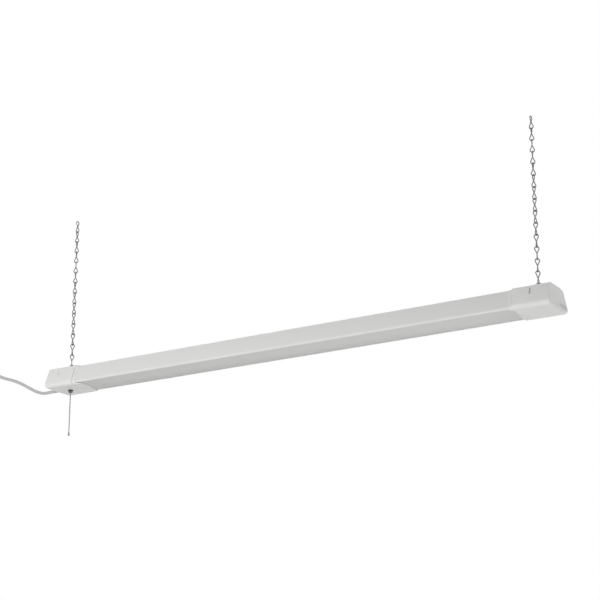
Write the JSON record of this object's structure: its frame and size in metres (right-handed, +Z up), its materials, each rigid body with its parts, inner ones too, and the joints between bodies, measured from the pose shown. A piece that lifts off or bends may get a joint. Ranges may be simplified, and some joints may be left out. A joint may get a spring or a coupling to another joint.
{
  "type": "hanging shop light",
  "caption": "Slim strip light in a folded steel housing with moulded end caps, hung from two jack chains, with a beaded pull-chain switch and a mains cord.",
  "frame": {"origin": "half way between the two points that the chains hang from, which are the inner tops of their first links", "axes": "+X along the light to its right-hand end, the front faces -Y, +Z up"},
  "size_m": [1.5252, 0.0866, 0.4991],
  "materials": {
    "white_steel": "white powder coat, semi-gloss",
    "white_moulding": "white moulded plastic, satin",
    "milky_lens": "opal diffuser, unlit",
    "grey_moulding": "grey plastic",
    "black_moulding": "black plastic",
    "zinc": "zinc plated",
    "chain_steel": "bright zinc-plated wire",
    "bead_nickel": "nickel plated",
    "circuit_board": "white solder mask",
    "phosphor": "yellow phosphor",
    "green_board": "green solder mask",
    "ferrite": "dark ferrite",
    "capacitor": "aluminium cans",
    "connector_cap": "orange twist-on caps",
    "wire_insulation": "insulated wires",
    "brass": "brass",
    "spring_steel": "spring wire",
    "cord_jacket": "white vinyl jacket"
  },
  "bodies": {
    "ceiling_links": {"left_top_link": "chain_steel", "right_top_link": "chain_steel"},
    "swing_links": {"left_second_link": "chain_steel", "right_second_link": "chain_steel"},
    "left_chain": {"left_chain": "chain_steel"},
    "right_chain": {"right_chain": "chain_steel"},
    "bottom_links": {"left_bottom_link": "chain_steel", "right_bottom_link": "chain_steel"},
    "light": {"housing_channel": "white_steel", "led_tray": "white_steel", "diffuser_lens": "milky_lens", "left_end_cap": "white_moulding", "right_end_cap": "white_moulding", "end_blank": "grey_moulding", "left_cap_screws": "zinc", "right_cap_screws": "zinc", "left_hanger": "zinc", "right_hanger": "zinc", "board_screws": "zinc", "led_board_left": "circuit_board", "led_board_right": "circuit_board", "led_chips_left": "phosphor", "led_chips_right": "phosphor", "board_jumper": "white_moulding", "driver_case": "white_steel", "driver_lid": "white_steel", "driver_board": "green_board", "driver_transformer": "ferrite", "driver_capacitors": "capacitor", "wire_connectors": "connector_cap", "mains_leads": "wire_insulation", "switch_body": "black_moulding", "switch_cover": "black_moulding", "switch_nut": "black_moulding", "switch_spring": "spring_steel", "cord_strain_relief": "cord_jacket", "power_cord": "cord_jacket", "plug_lead": "cord_jacket", "cord_coil": "cord_jacket", "cord_tie": "black_moulding", "plug_body": "cord_jacket", "plug_blades": "brass", "plug_ground_pin": "brass"},
    "pull_plunger": {"switch_plunger": "brass"},
    "pull_coupler": {"pull_coupler": "bead_nickel"},
    "pull_chain": {"pull_chain": "bead_nickel", "pull_chain_end": "bead_nickel"}
  },
  "joints": [
    {"name": "crosswise_swing", "type": "hinge", "parent": "ceiling_links", "child": "swing_links", "pos_m": [0, 0, -0.02435], "axis": [1, 0, 0], "range_deg": [-30, 30]},
    {"name": "left_chain_swing", "type": "hinge", "parent": "swing_links", "child": "left_chain", "pos_m": [-0.5607, 0, -0.04855], "axis": [0, 1, 0], "range_deg": [-25, 25]},
    {"name": "right_chain_swing", "type": "hinge", "parent": "swing_links", "child": "right_chain", "pos_m": [0.5607, 0, -0.04855], "axis": [0, 1, 0], "range_deg": [-25, 25]},
    {"name": "bottom_links_level", "type": "hinge", "parent": "left_chain", "child": "bottom_links", "pos_m": [-0.5607, 0, -0.31475], "axis": [0, 1, 0], "range_deg": [-25, 25]},
    {"name": "light_rock", "type": "hinge", "parent": "bottom_links", "child": "light", "pos_m": [0, 0, -0.3388], "axis": [1, 0, 0], "range_deg": [-20, 20]},
    {"name": "pull_slide", "type": "slide", "parent": "light", "child": "pull_plunger", "axis": [0, 0, -1], "range_m": [0, 0.0045], "stiffness_N_per_m": 400, "springref_m": -0.002, "deforming": ["switch_spring"]},
    {"name": "pull_chain_cross_swing", "type": "hinge", "parent": "pull_plunger", "child": "pull_coupler", "pos_m": [-0.5607, 0, -0.4034], "axis": [1, 0, 0], "range_deg": [-25, 25]},
    {"name": "pull_chain_swing", "type": "hinge", "parent": "pull_coupler", "child": "pull_chain", "pos_m": [-0.5607, 0, -0.4034], "axis": [0, 1, 0], "range_deg": [-25, 25]}
  ],
  "couplings": [
    {"joint": "bottom_links_level", "follows": "left_chain_swing", "ratio": -1},
    {"joint": "right_chain_swing", "follows": "left_chain_swing", "ratio": 1}
  ]
}
